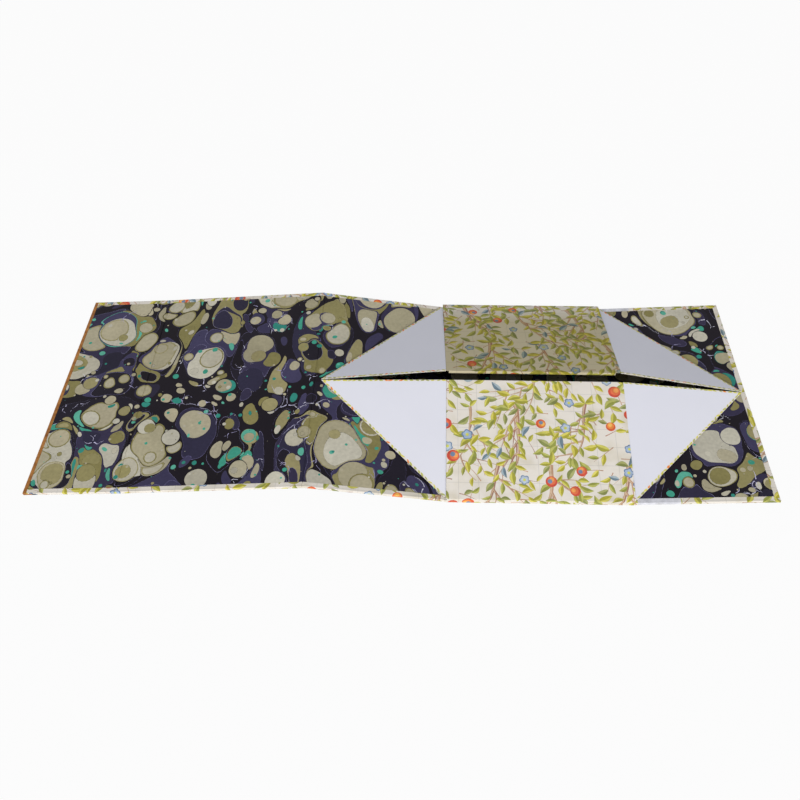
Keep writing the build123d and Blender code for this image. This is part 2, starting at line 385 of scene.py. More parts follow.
def sheet_mesh(name, inlaid, base, face_down=False):
    """A closed flat sheet from base height up, with its flat layout kept as a UV map. The inlaid face is the
    upper one, or the lower one if the sheet lies face down. Its back is plain, and divided only where the
    sheet bends."""
    corners, triangles, inks, ground, cuts = inlaid
    used = sorted({i for t in triangles for i in t})
    number = {i: k for k, i in enumerate(used)}
    face_corners = [corners[i] for i in used]
    front = [tuple(number[i] for i in t) for t in triangles]
    edges = {}
    for k, (a, b, c) in enumerate(front):
        edges.update({(a, b): k, (b, c): k, (c, a): k})
    rim = {a: b for a, b in edges if (b, a) not in edges}
    loop = [min(rim)]
    while rim[loop[-1]] != loop[0]:
        loop.append(rim[loop[-1]])

    points = [face_corners[i] for i in loop] + [Vector(p) for cut in cuts for p in cut]
    lines = [(k, k + 1) for k in range(len(loop), len(points), 2)]
    corners, plain, origins = divided(points, lines, list(range(len(loop))))
    used = sorted({i for t in plain for i in t})
    number = {i: len(face_corners) + k for k, i in enumerate(used)}
    back_corners = [corners[i] for i in used]
    behind = {loop[k]: number[i] for i, given in enumerate(origins) for k in given if k < len(loop)}
    back = [tuple(number[i] for i in reversed(t)) for t in plain]
    sides = [tuple(dict.fromkeys((rim[a], a, behind[a], behind[rim[a]]))) for a in loop]

    face_height, back_height = (base, base + paper_thick) if face_down else (base + paper_thick, base)
    vertices = [(p.x, p.y, face_height) for p in face_corners]
    vertices += [(p.x, p.y, back_height) for p in back_corners]
    faces = [f[::-1] if face_down else f for f in front + back + sides]
    colours = inks + [(*ground, 1.0)] * len(back) + [inks[edges[(a, rim[a])]] for a in loop]
    mesh = bpy.data.meshes.new(name)
    mesh.from_pydata(vertices, [], faces)
    layer = mesh.color_attributes.new("ink", "FLOAT_COLOR", "CORNER")
    uv = mesh.uv_layers.new(name="flat")
    layer.data.foreach_set("color", [c for f, colour in zip(faces, colours) for c in colour * len(f)])
    uv.data.foreach_set("uv", [c for f in faces for i in f for c in vertices[i][:2]])
    mesh.validate()
    return mesh


def noise(tree, place, scale, detail=2):
    """Soft random patches, so many to place's unit."""
    return add_node(tree, "TexNoise", {"Vector": place, "Scale": scale, "Detail": detail}).outputs["Fac"]


def paper_fibre_group():
    """Fine fibres and slow unevenness of paper: a height for Bump and a tint that multiplies the colour."""
    tree = bpy.data.node_groups.new("paper_fibre", "ShaderNodeTree")
    for name, value in (("Fibre Scale", 1400.0), ("Tint Depth", 0.05)):
        socket = tree.interface.new_socket(name, in_out="INPUT", socket_type="NodeSocketFloat")
        socket.default_value = value
    for name in ("Height", "Tint"):
        tree.interface.new_socket(name, in_out="OUTPUT", socket_type="NodeSocketFloat")
    given, result = tree.nodes.new("NodeGroupInput").outputs, tree.nodes.new("NodeGroupOutput")
    place = add_node(tree, "TexCoord").outputs["Object"]
    stretched = add_node(tree, "Mapping", {"Vector": place, "Scale": (1, 0.55, 1)}).outputs[0]
    sizes = {"Vector": stretched, "Scale": given["Fibre Scale"], "Detail": 3, "Distortion": 0.6}
    fibres = add_node(tree, "TexNoise", sizes).outputs["Fac"]
    unevenness = calc(tree, "SUBTRACT", noise(tree, place, 38, 5), 0.5)
    tint = calc(tree, "ADD", calc(tree, "MULTIPLY", unevenness, given["Tint Depth"]), 1)
    set_inputs(tree, result, {"Height": fibres, "Tint": tint})
    return tree


paper_fibre = paper_fibre_group()


def paper_look(name, roughness, tint_depth, gloss=0.2):
    """A new paper material with its fibres in place. Returns it with its node tree, shader and tint."""
    look, tree, shader = new_look(name, {"Roughness": roughness, "Specular IOR Level": gloss})
    fibre = add_node(tree, "Group", {"Tint Depth": tint_depth}, node_tree=paper_fibre).outputs
    bump = add_node(tree, "Bump", {"Height": fibre["Height"], "Strength": 0.12, "Distance": 0.0001})
    set_inputs(tree, shader, {"Normal": bump.outputs[0]})
    return look, tree, shader, fibre["Tint"]


def multiplied(tree, colour, factor):
    """A colour or a place times a number."""
    return add_node(tree, "VectorMath", {0: colour, "Scale": factor}, operation="SCALE").outputs[0]


def ranged(tree, value, *limits):
    """The value, stretched from one low and high to another low and high, and held between them."""
    ends = dict(zip(("From Min", "From Max", "To Min", "To Max"), limits))
    return add_node(tree, "MapRange", {"Value": value, **ends}).outputs[0]


# Floated ink dries in soft mottles, a little cloudy and grainy in every colour.
marbled_look, tree, shader, tint = paper_look("marbled_paper", 0.4, 0.4, 0.09)
inks = add_node(tree, "Attribute", attribute_name="ink").outputs["Color"]
place = add_node(tree, "TexCoord").outputs["Object"]
grain = ranged(tree, noise(tree, place, 420, 4), 0.3, 0.7, 0.9, 1.08)
set_inputs(tree, shader, {"Base Color": multiplied(tree, multiplied(tree, inks, tint), grain)})


def finish_piece(mesh, look, slot, body, *nodes_replaced):
    """Makes the piece an object that rides on its body and stands for the plain sheets of the frame."""
    mesh.materials.clear()
    mesh.materials.append(look)
    piece = add_object(mesh.name, mesh)
    if body:
        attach(piece, body)
    if nodes_replaced:
        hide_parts(*nodes_replaced)
    return piece


# The lining is pasted over the turned-in edges of the cover, one length of it on each panel. It leaves a
# margin of the cover bare at the near and far edges, at the front wall's end and, for the brown strip, at the
# flap's end.
turn_in, brown_strip, base_lining_half = 0.0041, 0.003, 0.1018

# Where each length of lining begins and ends along the row, and how far it reaches to each side.
lined = {body: [panel.low, panel.high, panel.half - turn_in] for body, panel in panels.items()}
lined["flap"][0] = flap_end + brown_strip
lined["base"][2] = base_lining_half
lined["front_wall"][1] = front_end - turn_in


def oblong(low_u, high_u, low_v, high_v):
    return np.array(((low_u, low_v), (high_u, low_v), (high_u, high_v), (low_u, high_v)))


def paste_lining(name, body, outline, shapes, base, place, face_down=False):
    """Cuts a lining from the marbled paper and pastes it in its place."""
    mesh = sheet_mesh(name, inlay(outline, shapes, black_ground), base, face_down)
    mesh.transform(place)
    finish_piece(mesh, marbled_look, "marbled_paper", body, f"{body}_lining")


lining_base = panel_thick - paper_thick
for body, (low, high, half) in lined.items():
    outline = oblong(low, high, -half, half)
    paste_lining(f"{body}_marbled_lining", body, outline, marbling, lining_base, row_frame(body))

# At each fold of the row the lining runs on over the gap between the boards and is pressed into a fine
# crease. It is bent to the fold's shape as the box lies open, and stays there.
creases = [("lid", "flap"), ("back_wall", "lid"), ("base", "back_wall"), ("base", "front_wall")]
crease_depth, crease_width = 0.0006, 0.0012
bends_in_crease = 9


def groove_span(parent, child):
    """Where the gap between two boards begins and ends along the strip."""
    first, second = sorted((panels[parent], panels[child]), key=lambda panel: panel.low)
    return first.high, second.low


def groove_cuts(low, high, from_v, to_v):
    """Lines across a gap's paper where it bends."""
    return [((u, from_v), (u, to_v)) for u in np.linspace(low, high, bends_in_crease + 2)[1:-1]]


def crease_frame(parent, child, u):
    """Places a point of the strip between two boards, which turns from one panel's slope to the other's."""
    low, high = groove_span(parent, child)
    share = min(max((u - low) / (high - low), 0), 1)
    if panels[child].low < panels[parent].low:
        share = 1 - share
    share = share * share * (3 - 2 * share)
    return row_frame(child, panels[parent].slope + share * (panels[child].slope - panels[parent].slope))


def lay_in_groove(mesh, parent, child):
    """Bends a flat strip over the gap between two boards and presses a line into its middle."""
    low, high = groove_span(parent, child)
    middle = (low + high) / 2
    for vertex in mesh.vertices:
        u, v, z = vertex.co
        near = max(0, 1 - abs(u - middle) / (crease_width / 2))
        pressed = Vector((u, v, z - crease_depth * near * z / panel_thick))
        vertex.co = crease_frame(parent, child, u) @ pressed


def blend_over(piece, parent, child):
    """Bakes the piece's placing into its mesh and works out the gap's two ends; the piece is not made to
    follow either panel.
    """
    low, high = groove_span(parent, child)
    if panels[child].low < panels[parent].low:
        low, high = high, low
    start, end = (crease_frame(parent, child, u) @ Vector((u, 0, panel_thick)) for u in (low, high))
    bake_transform(piece)
    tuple(start)
    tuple(end)


for parent, child in creases:
    low, high = groove_span(parent, child)
    half = min(lined[parent][2], lined[child][2])
    cuts = groove_cuts(low, high, -half, half)
    laid = inlay(oblong(low, high, -half, half), marbling, black_ground, cuts)
    mesh = sheet_mesh(f"{parent}_{child}_lining_crease", laid, lining_base)
    lay_in_groove(mesh, parent, child)
    blend_over(finish_piece(mesh, marbled_look, "marbled_paper", None), parent, child)

# The printed cover paper. Branches climb over a cream ground that is ruled with faint squares, with
# lens-shaped leaves in two tones, round fruits and small five-petalled blossoms. It is printed flat, before
# the box is covered.
cream, ruled = ink(229, 222, 211), ink(196, 192, 186)
bark = [ink(184, 146, 120), ink(194, 156, 128), ink(164, 122, 106), ink(178, 134, 110)]
bark_light = ink(208, 182, 152)
leaf_tones = [
    (ink(162, 158, 66), ink(206, 200, 98)),
    (ink(148, 152, 74), ink(188, 188, 104)),
    (ink(176, 168, 60), ink(218, 208, 104)),
    (ink(134, 140, 82), ink(172, 174, 112)),
    (ink(110, 130, 142), ink(166, 182, 188)),
]
leaf_share = [0.32, 0.24, 0.24, 0.13, 0.07]
fruit_tones = [
    (ink(216, 96, 62), ink(234, 140, 72), ink(244, 186, 96)),
    (ink(206, 84, 66), ink(226, 118, 78), ink(238, 162, 92)),
]
blossom_tones = [(ink(104, 128, 162), ink(164, 182, 204)), (ink(126, 148, 176), ink(190, 202, 214))]
blossom_eye, fruit_eye = ink(206, 206, 104), ink(120, 138, 164)

# The printed area: the row of panels from one end to the other, and the two side walls beside the base.
print_low, print_high, row_half = -0.4, 0.185, 0.115
print_reach, side_half = 0.215, 0.08
branches_apart, branch_lengths, branch_widths = (0.046, 0.05), (0.05, 0.07), (0.0024, 0.0042)
twigs_apart, twig_lengths, twig_width = (0.0105, 0.0095), (0.012, 0.02), 0.0008
branch_step, leaf_room = 0.0018, 0.002
leaf_lengths, tip_leaf_lengths = (0.0075, 0.0125), (0.008, 0.012)
fruit_radii, blossom_radii = (0.0036, 0.005), (0.0036, 0.0046)


def grow_print(seed):
    """Outlines and colours of the whole print, lowest first: branches, leaves, fruits and blossoms."""
    rng = np.random.default_rng(seed)
    stems, leaves, heads = [], [], []
    taken = np.empty((0, 3))

    def turned(points, place, angle):
        c, s = cos(angle), sin(angle)
        return np.asarray(points) @ np.array(((c, s), (-s, c))) + place

    def room(place, radius):
        nonlocal taken
        if len(taken) and (np.hypot(*(taken[:, :2] - place).T) < taken[:, 2] + radius).any():
            return False
        taken = np.vstack((taken, (*place, radius)))
        return True

    def leaf(place, angle, length):
        half_width = length * rng.uniform(0.17, 0.23)
        if not room(place + 0.55 * length * np.array((cos(angle), sin(angle))), leaf_room):
            return
        t = np.linspace(0, 1, 8)
        swell = np.sin(pi * t**0.85) * half_width
        arch = rng.uniform(-0.16, 0.16) * length * np.sin(pi * t)
        dark, light = leaf_tones[rng.choice(len(leaf_tones), p=leaf_share)]
        upper, lower, rib = (np.column_stack((t * length, arch + k * swell)) for k in (1, -1, 0.1))
        leaves.append((turned(np.vstack((upper, lower[-2:0:-1])), place, angle), dark))
        leaves.append((turned(np.vstack((upper * (0.98, 0.94), rib[-2:0:-1])), place, angle), light))

    def ring(radius, count):
        a = np.linspace(0, 2 * pi, count, endpoint=False)
        return np.column_stack((radius * np.cos(a), radius * np.sin(a)))

    def fruit(place, angle):
        radius = rng.uniform(*fruit_radii)
        if room(place, radius * 0.8):
            skin = zip((1, 0.74, 0.42), (0, 0.18, 0.4), (16, 12, 9), fruit_tones[rng.integers(2)])
            for share, shift, count, tone in skin:
                heads.append((turned(ring(radius * share, count) + (0, radius * shift), place, angle), tone))
            if rng.random() < 0.35:
                heads.append((turned(ring(radius * 0.42, 9) + (radius * 0.25, 0), place, angle), fruit_eye))

    def blossom(place, angle):
        radius = rng.uniform(*blossom_radii)
        if room(place, radius * 0.8):
            deep, light = blossom_tones[rng.integers(2)]
            a = np.linspace(0, 2 * pi, 30, endpoint=False)
            lobes = 0.76 + 0.24 * np.abs(np.cos(2.5 * a))
            petals = radius * np.column_stack((lobes * np.cos(a), lobes * np.sin(a)))
            heads.append((turned(petals, place, angle), deep))
            heads.append((turned(petals * 0.78, place, angle), light))
            heads.append((turned(ring(radius * 0.3, 8), place, angle), blossom_eye))

    def branch(place, angle, length, width, order):
        curl = rng.normal(0, 9)
        path, angles = [np.array(place)], [angle]
        for _ in range(int(length / branch_step)):
            curl = 0.9 * curl + rng.normal(0, 7)
            upward = (pi / 2 - angles[-1] + pi) % (2 * pi) - pi
            angles.append(angles[-1] + (curl + 5 * upward) * branch_step)
            path.append(path[-1] + branch_step * np.array((cos(angles[-1]), sin(angles[-1]))))
        path, angles = np.array(path), np.array(angles)
        taper = width / 2 * (1 - 0.78 * np.linspace(0, 1, len(path)) ** 0.7)[:, None]
        normal = np.column_stack((-np.sin(angles), np.cos(angles)))
        edge, lit_edge, far_edge = path + normal * taper, path + normal * taper * 0.7, path - normal * taper
        stems.append((np.vstack((edge, far_edge[::-1])), bark[rng.integers(4)]))
        if order < 2:
            stems.append((np.vstack((lit_edge, (path - normal * taper * 0.1)[::-1])), bark_light))
        hand = rng.choice((-1, 1))
        first = 6 if order == 0 else 2
        for k in range(first, len(path) - 1, 3):
            hand = -hand
            side = angles[k] + hand * rng.uniform(0.5, 1.1)
            if order < 2 and (k - first) % 6 == 0 and k < len(path) - 6:
                branch(path[k], side, length * rng.uniform(0.4, 0.62), width * 0.6, order + 1)
            else:
                leaf(path[k], side, rng.uniform(*leaf_lengths))
        if order and rng.random() < 0.6:
            (fruit if rng.random() < 0.5 else blossom)(path[-1], angles[-1])
        else:
            leaf(path[-1], angles[-1], rng.uniform(*tip_leaf_lengths))

    def over_paper(across, along):
        """Steps over the printed paper's whole area, the row and the two side walls."""
        for row, v in enumerate(np.arange(-print_reach - 0.02, print_reach, along)):
            for u in np.arange(print_low + across / 2 * (row % 2), print_high, across):
                if abs(v) < row_half or abs(u) < side_half:
                    yield np.array((u, v)) + rng.normal(0, across / 12, 2)

    for place in over_paper(*branches_apart):
        upward = pi / 2 + rng.normal(0, 0.35)
        branch(place, upward, rng.uniform(*branch_lengths), rng.uniform(*branch_widths), 0)
        for spread in (-2.4, -1.7, 1.8, 2.5, 3.1):
            leaf(place, pi / 2 + spread + rng.normal(0, 0.2), rng.uniform(*tip_leaf_lengths))
    for place in over_paper(*twigs_apart):
        room_left = 0.0034 if place[1] < 0.1 else 0.0022
        if (np.hypot(*(taken[:, :2] - place).T) > taken[:, 2] + room_left).all():
            kind = rng.random()
            if kind < 0.3:
                (fruit if kind < 0.14 else blossom)(place, rng.uniform(0, 6))
            branch(place, rng.uniform(0, 2 * pi), rng.uniform(*twig_lengths), twig_width, 2)
    return stems + leaves + heads


printed = grow_print(5)
printed_look, tree, shader, tint = paper_look("printed_paper", 0.55, 0.16)
inks = add_node(tree, "Attribute", attribute_name="ink").outputs
in_millimetres = multiplied(tree, add_node(tree, "UVMap", uv_map="flat").outputs[0], 1000)
squares = {"Scale": 1, "Mortar Size": 0.25, "Mortar Smooth": 0.6, "Brick Width": 15, "Row Height": 15}
ruling = add_node(tree, "TexBrick", {"Vector": in_millimetres, **squares}, offset=0).outputs["Fac"]
wash = ranged(tree, noise(tree, in_millimetres, 0.22, 4), 0.3, 0.7, 0.82, 1.16)


def mixed(tree, share, below, above, blend="MIX"):
    """One colour over another, by a share that varies over the surface."""
    inputs = {"Factor": share, "A": below, "B": above}
    return add_node(tree, "Mix", inputs, data_type="RGBA", blend_type=blend).outputs["Result"]


ground = mixed(tree, calc(tree, "MULTIPLY", ruling, 0.75), (*cream, 1), (*ruled, 1))
ground, inked = multiplied(tree, ground, tint), multiplied(tree, inks["Color"], wash)
drawn = mixed(tree, inks["Alpha"], ground, inked)

# Painted shade: the print is darkened towards its far edge, over the far side wall, and softly in patches of
# random tone elsewhere.
height = add_node(tree, "SeparateXYZ", {0: in_millimetres}).outputs["Y"]
# Painted shade over the far side wall: it grows over the first 28 mm from the hinge and is full beyond that.
far_painted_shade = ranged(tree, height, 106, 135, 0, 1)
patches = ranged(tree, noise(tree, in_millimetres, 0.06), 0.48, 0.7, 0, 0.4)
shaded = mixed(tree, calc(tree, "MAXIMUM", far_painted_shade, patches), drawn, (0.68, 0.64, 0.47, 1), "MULTIPLY")
set_inputs(tree, shader, {"Base Color": shaded})

# Each panel's cover is cut from the printed paper, laid under its board, brought up round the board's edges
# and turned in over it. The fold follows one rule for every panel, so one tree of nodes wraps them all.
corner_radius = 0.00045
corner_run = corner_radius * pi / 2
edge_run = panel_thick - 2 * corner_radius
margin = 0.004


def wrap_round_board_tree():
    tree = bpy.data.node_groups.new("wrap_round_board", "GeometryNodeTree")
    sizes = {"Half Depth": half_lid, "Board Thickness": panel_thick, "Corner Radius": corner_radius}
    sockets = tree.interface
    sockets.new_socket("Sheet", in_out="INPUT", socket_type="NodeSocketGeometry")
    for name, value in sizes.items():
        sockets.new_socket(name, in_out="INPUT", socket_type="NodeSocketFloat").default_value = value
    sockets.new_socket("Finish", in_out="INPUT", socket_type="NodeSocketMaterial")
    sockets.new_socket("Wrap", in_out="OUTPUT", socket_type="NodeSocketGeometry")
    given, result = tree.nodes.new("NodeGroupInput").outputs, tree.nodes.new("NodeGroupOutput")

    def work(operation, *values):
        return calc(tree, operation, *values)

    def between(value, high):
        return work("MINIMUM", work("MAXIMUM", value, 0), high)

    half, thick, radius = (given[name] for name in sizes)
    place = tree.nodes.new("GeometryNodeInputPosition").outputs[0]
    x, y, inset = add_node(tree, "SeparateXYZ", {0: place}).outputs
    reach = work("ABSOLUTE", y)
    flat_part = work("SUBTRACT", half, radius)
    beyond = work("SUBTRACT", reach, flat_part)
    bend = work("MULTIPLY", radius, pi / 2)
    upright = work("SUBTRACT", thick, work("MULTIPLY", radius, 2))
    first = between(work("DIVIDE", beyond, radius), pi / 2)
    after_first = work("SUBTRACT", beyond, bend)
    after_edge = work("SUBTRACT", after_first, upright)
    second = between(work("DIVIDE", after_edge, radius), pi / 2)
    turned_in = work("MAXIMUM", work("SUBTRACT", after_edge, bend), 0)
    whole = work("ADD", first, second)
    out = work("ADD", work("MINIMUM", reach, flat_part), work("MULTIPLY", radius, work("SINE", first)))
    out = work("SUBTRACT", out, work("MULTIPLY", radius, work("SUBTRACT", 1, work("COSINE", second))))
    out = work("SUBTRACT", work("SUBTRACT", out, turned_in), work("MULTIPLY", inset, work("SINE", whole)))
    up = work("MULTIPLY", radius, work("SUBTRACT", 1, work("COSINE", first)))
    up = work("ADD", up, between(after_first, upright))
    up = work("ADD", up, work("MULTIPLY", radius, work("SINE", second)))
    up = work("ADD", up, work("MULTIPLY", inset, work("COSINE", whole)))
    bent = add_node(tree, "CombineXYZ", enumerate((x, work("MULTIPLY", out, work("SIGN", y)), up)))
    steps = {
        "SetPosition": {"Position": bent.outputs[0]},
        "RealizeInstances": {},
        "SetMaterial": {"Material": given["Finish"]},
    }
    geometry_out = given["Sheet"]
    for kind, inputs in steps.items():
        node = tree.nodes.new(f"GeometryNode{kind}")
        set_inputs(tree, node, {"Geometry": geometry_out, **inputs})
        geometry_out = node.outputs[0]
    set_inputs(tree, result, {"Wrap": geometry_out})
    return tree


wrap_tree = wrap_round_board_tree()
wrap_sockets = {item.name: item.identifier for item in wrap_tree.interface.items_tree}


def bend_round_board(mesh, half_depth, thickness):
    """Brings a flat sheet up and over a board's edges at half_depth either side of its middle line."""
    name = mesh.name
    holder = add_object(name, mesh)
    modifier = holder.modifiers.new("wrap", "NODES")
    modifier.node_group = wrap_tree
    modifier[wrap_sockets["Half Depth"]] = half_depth
    modifier[wrap_sockets["Board Thickness"]] = thickness
    modifier[wrap_sockets["Corner Radius"]] = corner_radius
    modifier[wrap_sockets["Finish"]] = printed_look
    bent = bpy.data.meshes.new_from_object(holder.evaluated_get(bpy.context.evaluated_depsgraph_get()))
    bpy.data.objects.remove(holder)
    bpy.data.meshes.remove(mesh)
    bent.name = name
    return bent


def bend_lines(half_depth, thickness, low, high, sides=(1, -1)):
    """Lines across the sheet where it rounds the board's corners."""
    start = half_depth - corner_radius
    marks = [start + k * corner_run / 3 for k in range(4)]
    marks += [m + corner_run + thickness - 2 * corner_radius for m in marks]
    return [((low, side * m), (high, side * m)) for m in marks for side in sides]


def flat_half(half_depth):
    """How far the flat sheet reaches from its middle to the end of its turn-in."""
    return half_depth - corner_radius + 2 * corner_run + edge_run + margin - corner_radius


def cover_mesh(name, outline, shapes, cuts, half_depth, thickness=panel_thick):
    """A cover cut from the printed paper and folded round its board."""
    sheet = sheet_mesh(name, inlay(outline, shapes, cream, cuts), 0, face_down=True)
    return bend_round_board(sheet, half_depth, thickness)


# The brown end strip runs on a little way along the flap's near edge, with a painted shadow as a near-black
# band just past it. The front wall's edges next to the base are bare white paper, where the cover falls
# short.
# The near-black ink laid just past the brown tab is painted shadow.
brown_tab, tab_painted_shadow, bare_paper = ink(168, 112, 56), ink(40, 34, 40), ink(212, 212, 218)
flap_cover_end, hinge_gap, end_strip = 0.0002, 0.0003, 0.0029
tab_from = flap_end + end_strip
tab_long, tab_shadow_long = 0.0042, 0.003
tab_end = tab_from + tab_long
tab_shadow_end = tab_from + tab_long + tab_shadow_long
near_bare, far_bare, past_edge = 0.034, 0.028, 0.12
edge_start = half_lid - corner_radius + corner_run
edge_end = edge_start + edge_run
own_marks = {
    "flap": [
        (oblong(tab_from, tab_end, -edge_end, -edge_start), brown_tab),
        (oblong(tab_end, tab_shadow_end, -edge_end, -edge_start), tab_painted_shadow),
    ],
    "front_wall": [
        (oblong(half_base, half_base + near_bare, -past_edge, -half_wall), bare_paper),
        (oblong(half_base, half_base + far_bare, half_wall, past_edge), bare_paper),
    ],
}

# Where each sheet begins and ends under its board, and where its turned-in edges do.
cover_ends = {
    "flap": (flap_end + flap_cover_end, flap_fold_u - hinge_gap, tab_from, panels["flap"].high),
    "lid": (flap_fold_u, lid_fold_u - hinge_gap, panels["lid"].low, panels["lid"].high),
    "back_wall": (lid_fold_u, -half_base, back_top, back_foot),
    "front_wall": (half_base, front_end - corner_radius, panels["front_wall"].low, front_end),
}
for body, (sheet_low, sheet_high, edge_low, edge_high) in cover_ends.items():
    half = panels[body].half
    wide, flat_part = flat_half(half), half - corner_radius
    mitre = margin if body == "front_wall" else 0
    upper = [
        (sheet_low, flat_part),
        (edge_low, flat_part),
        (edge_low, wide),
        (edge_high - mitre, wide),
        (edge_high, wide - margin + corner_radius),
        (edge_high, flat_part),
        (sheet_high, flat_part),
    ]
    edge = upper + [(u, -v) for u, v in reversed(upper)]
    cuts = bend_lines(half, panel_thick, edge_low, edge_high)
    mesh = cover_mesh(f"{body}_printed_cover", edge, printed + own_marks.get(body, []), cuts, half)
    mesh.transform(row_frame(body))
    finish_piece(mesh, printed_look, "printed_paper", body, f"{body}_wrap")


# The front wall's free end is covered by a tongue of the same sheet, turned in over it and mitred at both
# corners.
def laid_over(shapes, across, along, shift=(0, 0)):
    """The shapes turned or mirrored on to a sheet's own across and along, and shifted."""
    turn = np.array((across, along)).T
    return [(outline @ turn + shift, colour) for outline, colour in shapes]


end_low, end_high = wall_top - corner_radius, flat_half(wall_top)
end_mitre = end_high - margin + corner_radius
end_outline = [
    (-half_wall, end_low),
    (half_wall, end_low),
    (half_wall, end_mitre),
    (half_wall - margin, end_high),
    (margin - half_wall, end_high),
    (-half_wall, end_mitre),
]
end_print = laid_over(printed, (0, -1), (1, 0), (0, -half_base))
end_cuts = bend_lines(wall_top, panel_thick, -half_wall, half_wall, (1,))
mesh = cover_mesh("front_wall_printed_end", end_outline, end_print, end_cuts, wall_top)
quarter_turn = Matrix.Translation((half_base, 0, 0)) @ Matrix.Rotation(-pi / 2, 4, "Z")
mesh.transform(row_frame("front_wall") @ quarter_turn)
finish_piece(mesh, printed_look, "printed_paper", "front_wall")

# The base's cover isn't turned in. At the near and far edges it goes on upward as a narrow spine, as high as
# the fold of the side walls. A tall edge in place of the board's keeps it upright.
side_fold_height, spine_gap, tall_edge = 0.0051, 0.0002, 0.02
spine_top = side_fold_height - spine_gap
base_wide = half_lid - corner_radius + corner_run + spine_top - corner_radius
base_edge = half_base - hinge_gap
cuts = bend_lines(half_lid, tall_edge, -base_edge, base_edge)
outline = oblong(-base_edge, base_edge, -base_wide, base_wide)
mesh = cover_mesh("base_printed_cover", outline, printed, cuts, half_lid, tall_edge)
finish_piece(mesh, printed_look, "printed_paper", "base", "base_wrap", "near_spine_strip", "far_spine_strip")

# At each fold of the row the cover's turned-in edges run on from one board to the next, folded flat over the
# gap. At the flap's fold the edge of the overlap shows as a slanted line.
lap_line = ink(178, 170, 152)
lap_inset, lap_width = 0.0004, 0.0003
for parent, child in creases:
    low, high = groove_span(parent, child)
    wide, flat_part = flat_half(half_lid), half_lid - corner_radius
    lap_low, lap_high = low + lap_inset, high - lap_inset
    slanted = np.array(
        (
            (lap_low, -wide),
            (lap_low + lap_width, -wide),
            (lap_high, -edge_start),
            (lap_high - lap_width, -edge_start),
        )
    )
    marks = [(slanted, lap_line)] if child == "flap" else []
    from_half, to_half = (panels[b].half for b in sorted((parent, child), key=lambda b: panels[b].low))
    ends = []
    for side in (-1, 1):
        stretch = oblong(low, high, *sorted((side * flat_part, side * wide)))
        cuts = groove_cuts(low, high, side * flat_part, side * wide)
        cuts += bend_lines(half_lid, panel_thick, low, high)
        ends.append(add_object("edge", cover_mesh("edge", stretch, printed + marks, cuts, half_lid)))
    chosen = {"active_object": ends[0], "selected_editable_objects": ends, "selected_objects": ends}
    with bpy.context.temp_override(**chosen):
        bpy.ops.object.join()
    mesh = ends[0].data
    bpy.data.objects.remove(ends[0])
    mesh.name = f"{parent}_{child}_edge_crease"
    for vertex in mesh.vertices:
        u, v, z = vertex.co
        share = min(max((u - low) / (high - low), 0), 1)
        drawn_in = half_lid - (from_half + share * (to_half - from_half))
        vertex.co = (u, v - drawn_in * (1 if v > 0 else -1), z)
    lay_in_groove(mesh, parent, child)
    blend_over(finish_piece(mesh, printed_look, "printed_paper", None), parent, child)

# Side walls, folded inward over the base with their printed side up. The cover goes over the free edge and is
# turned in under it. Past the board's ends it is paper alone, out to the slanted legs of the corner gussets.
side_reach = 0.0997
side_rise = radians(90 - travel("near_side_fold"))
cap_half, tuck_half = 0.0664, 0.061
at_back, at_front = (0.0693, 0.0685), (0.0693, 0.0693)
tongue_foot, tongue_head = 0.0004, side_reach - 0.0006
foot_reach, head_reach = 0.06966, 0.0708
board_half, board_taper, lining_foot = 0.065, 0.0038, 0.0003
marbling_shift = 0.24
spine_run = base_wide - half_lid + spine_gap
flat_end = side_reach - corner_radius
cap_end = flat_end + 2 * corner_run + edge_run


def side_frame(side):
    """Places a sheet whose hinge lies on its X axis, printed side down, as a side wall over the base."""
    across = Vector((side, 0, 0))
    reach = Vector((0, -side * cos(side_rise), sin(side_rise)))
    face = Vector((0, side * sin(side_rise), cos(side_rise)))
    turn = Matrix((across, reach, -face)).transposed().to_4x4()
    return Matrix.Translation((0, side * half_lid, side_fold_height)) @ turn


def side_sheet(name, side, outline, cuts=()):
    """A printed sheet in a side wall's own layout, with its UV map laid out as on the whole print."""
    side_print = laid_over(printed, (side, 0), (0, side), (0, -half_lid - spine_run))
    mesh = sheet_mesh(name, inlay(outline, side_print, cream, cuts), 0, face_down=True)
    layer = mesh.uv_layers["flat"].data
    places = np.empty(2 * len(layer))
    layer.foreach_get("uv", places)
    places = (places.reshape(-1, 2) + (0, half_lid + spine_run)) * side
    layer.foreach_set("uv", places.ravel())
    return mesh


for side, side_name in ((-1, "near"), (1, "far")):
    body = f"{side_name}_side"
    outline = []
    for hand in (1, -1):
        at_fold, at_edge = at_front if hand == side else at_back
        half_outline = [
            (at_fold, 0),
            (at_edge, flat_end),
            (cap_half, flat_end),
            (cap_half, cap_end),
            (tuck_half, cap_end),
            (tuck_half, flat_half(side_reach)),
        ]
        outline += [(hand * x, y) for x, y in half_outline[::hand]]
    cuts = bend_lines(side_reach, panel_thick, -cap_half, cap_half, (1,))
    mesh = bend_round_board(side_sheet(f"{body}_printed_cover", side, outline, cuts), side_reach, panel_thick)
    mesh.transform(side_frame(side))
    finish_piece(mesh, printed_look, "printed_paper", body, f"{body}_wrap")

    # A narrow tapered tongue of the cover meets the leg of the front gusset.
    low, high = (at_front[0], foot_reach), (at_front[0], head_reach)
    outline = [(side * x, tongue_foot) for x in low] + [(side * x, tongue_head) for x in reversed(high)]
    mesh = side_sheet(f"{body}_cover_tongue", side, outline)
    mesh.transform(side_frame(side))
    piece = finish_piece(mesh, printed_look, "printed_paper", body)
    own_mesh(piece)

    low, high = lining_foot, side_reach - turn_in
    half_edge = board_half - board_taper * high / side_reach
    outline = [(-board_half, low), (board_half, low), (half_edge, high), (-half_edge, high)]
    side_marbling = laid_over(marbling, (0, side), (side, 0), (0, marbling_shift))
    paste_lining(f"{body}_marbled_lining", body, outline, side_marbling, lining_base, side_frame(side))

